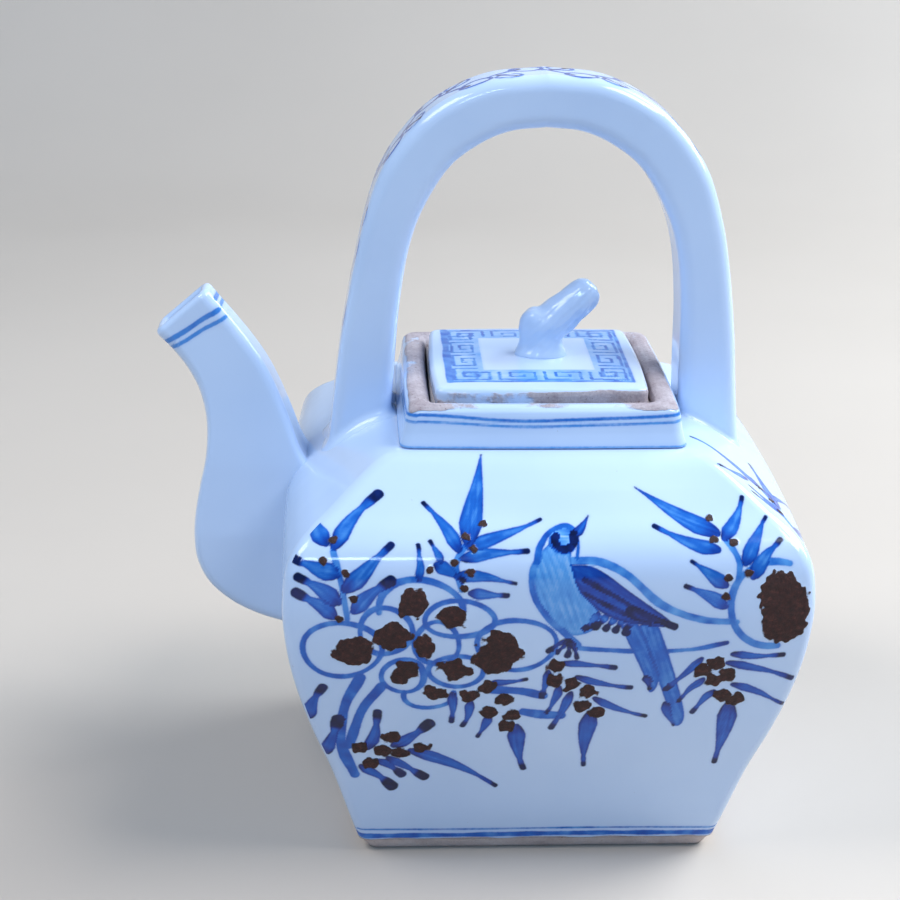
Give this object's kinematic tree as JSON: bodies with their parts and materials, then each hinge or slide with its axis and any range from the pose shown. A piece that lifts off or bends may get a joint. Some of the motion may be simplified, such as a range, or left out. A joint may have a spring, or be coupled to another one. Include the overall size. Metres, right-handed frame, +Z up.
{
  "type": "teapot",
  "caption": "Four-sided porcelain teapot with fixed overhead handle, square spout and lift-off lid with a twig knob, painted in blue with bamboo, blossom and a bird.",
  "frame": {"origin": "middle of the bounding box on the ground, under the foot rim; the body's own upright centre line is 17 mm towards +X because the spout sticks out on the other side", "axes": "+Z up, -X towards the spout's mouth, -Y towards the painted front wall"},
  "size_m": [0.172, 0.138, 0.205],
  "materials": {
    "white_glaze": "gloss",
    "bare_biscuit": "matte"
  },
  "bodies": {
    "pot": {"foot_rim": "bare_biscuit", "base_slab": "white_glaze", "front_wall": "white_glaze", "back_wall": "white_glaze", "spout_wall": "white_glaze", "rear_wall": "white_glaze", "neck_collar": "white_glaze", "lid_ledge": "bare_biscuit", "spout": "white_glaze", "handle": "white_glaze"},
    "lid": {"lid_plate": "white_glaze", "lid_flange": "bare_biscuit", "lid_knob": "white_glaze"}
  },
  "joints": [
    {"name": "lid_lift", "type": "slide", "parent": "pot", "child": "lid", "axis": [0, 0, 1], "range_m": [0, 0.03]}
  ]
}
